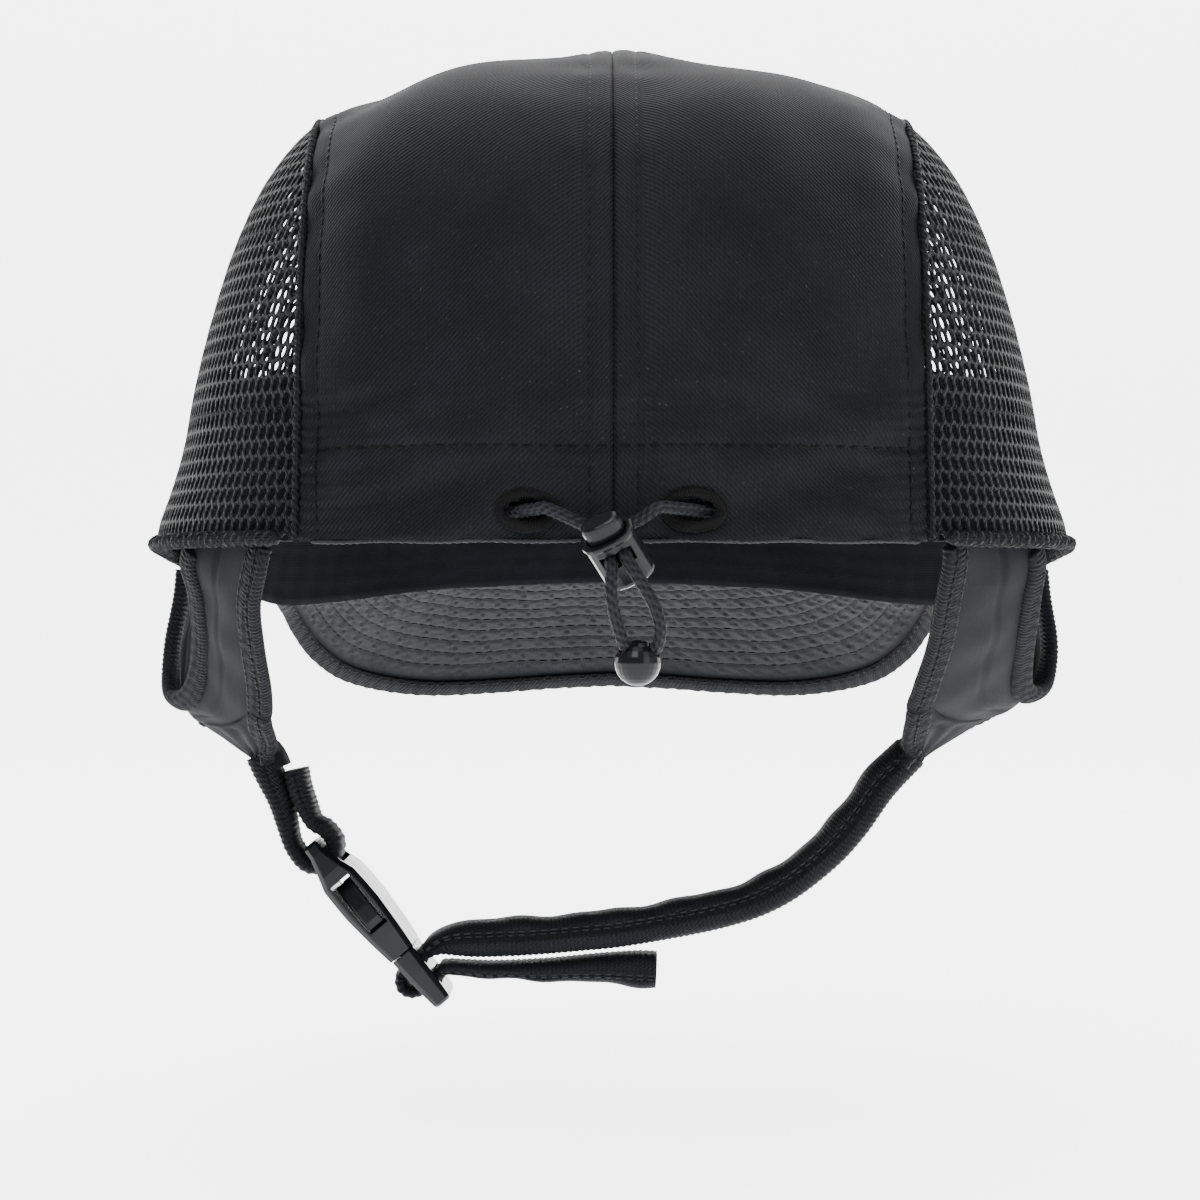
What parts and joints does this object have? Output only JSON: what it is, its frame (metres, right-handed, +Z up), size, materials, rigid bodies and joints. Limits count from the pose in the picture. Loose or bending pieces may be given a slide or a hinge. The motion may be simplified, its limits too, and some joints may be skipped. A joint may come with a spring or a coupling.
{
  "type": "surf cap",
  "caption": "Soft black surf cap with mesh sides, a short stiffened brim, a rear drawcord with a push lock, ear yokes and a chin strap with a side-release buckle.",
  "frame": {"origin": "centre of the head opening, in the plane of the crown's hem", "axes": "+Z up through the top of the crown, -Y forwards over the brim, +X to the wearer's left, the side of the buckle"},
  "size_m": [0.1976, 0.2787, 0.2054],
  "materials": {
    "woven": "fine matt black microfibre twill",
    "mesh": "open black hexagonal sports mesh",
    "knit": "soft black tricot",
    "binding": "ribbed black elastic binding",
    "tape": "black twill seam tape",
    "brim_board": "flexible foam board",
    "buckle_plastic": "black moulded acetal, satin gloss",
    "lock_plastic": "black moulded acetal, gloss",
    "cord": "round elastic cord with a braided cover",
    "spring_steel": "small coil spring"
  },
  "bodies": {
    "crown": {"front_panel": "woven", "back_panel_left": "woven", "back_panel_right": "woven", "side_mesh_left": "mesh", "side_mesh_right": "mesh", "centre_seam_tape": "tape", "side_seam_tape_left": "tape", "side_seam_tape_right": "tape", "sweatband": "knit", "drawcord_casing": "woven", "eyelet_left": "binding", "eyelet_right": "binding", "brim_upper_cover": "woven", "brim_core": "brim_board", "brim_lower_cover": "woven", "brim_binding": "binding", "drawcord_left": "cord", "drawcord_right": "cord", "ear_yoke_left": "knit", "ear_yoke_right": "knit", "ear_binding_left": "binding", "ear_binding_right": "binding", "rear_binding_left": "binding", "rear_binding_right": "binding", "front_binding_left": "binding", "front_binding_right": "binding"},
    "chin_strap": {"strap_loop_left": "knit", "strap_right": "knit", "strap_right_end": "knit", "buckle_female": "buckle_plastic"},
    "ladder_half": {"buckle_male": "buckle_plastic", "strap_turn": "knit", "strap_tail": "knit"},
    "prong_rear": {"buckle_prong_rear": "buckle_plastic"},
    "prong_front": {"buckle_prong_front": "buckle_plastic"},
    "cord_lock": {"cord_lock_barrel": "lock_plastic", "cord_lock_spring": "spring_steel", "cord_bead": "lock_plastic"},
    "lock_button": {"cord_lock_plunger": "lock_plastic"}
  },
  "joints": [
    {"name": "strap_swing", "type": "hinge", "parent": "crown", "child": "chin_strap", "pos_m": [0, 0.006, -0.044], "axis": [1, 0, 0], "range_deg": [-60, 60]},
    {"name": "buckle_release", "type": "slide", "parent": "chin_strap", "child": "ladder_half", "axis": [-0.6468, 0, -0.7627], "range_m": [0, 0.028], "deforming": ["strap_right_end", "buckle_prong_rear", "buckle_prong_front"]},
    {"name": "prong_rear_squeeze", "type": "hinge", "parent": "ladder_half", "child": "prong_rear", "pos_m": [0.04547, 0.0145, -0.08693], "axis": [0.7627, 0, -0.6468], "range_deg": [0, 5], "stiffness_Nm_per_rad": 0.4},
    {"name": "prong_front_squeeze", "type": "hinge", "parent": "ladder_half", "child": "prong_front", "pos_m": [0.04547, -0.0025, -0.08693], "axis": [-0.7627, 0, 0.6468], "range_deg": [0, 5], "stiffness_Nm_per_rad": 0.4},
    {"name": "cord_pull", "type": "slide", "parent": "crown", "child": "cord_lock", "axis": [-0.1432, 0.7934, -0.5916], "range_m": [0, 0.008], "deforming": ["drawcord_left", "drawcord_right"]},
    {"name": "lock_button_press", "type": "slide", "parent": "cord_lock", "child": "lock_button", "axis": [-0.432, -0.5879, -0.6839], "range_m": [0, 0.0018], "stiffness_N_per_m": 800, "deforming": ["cord_lock_spring"]}
  ]
}
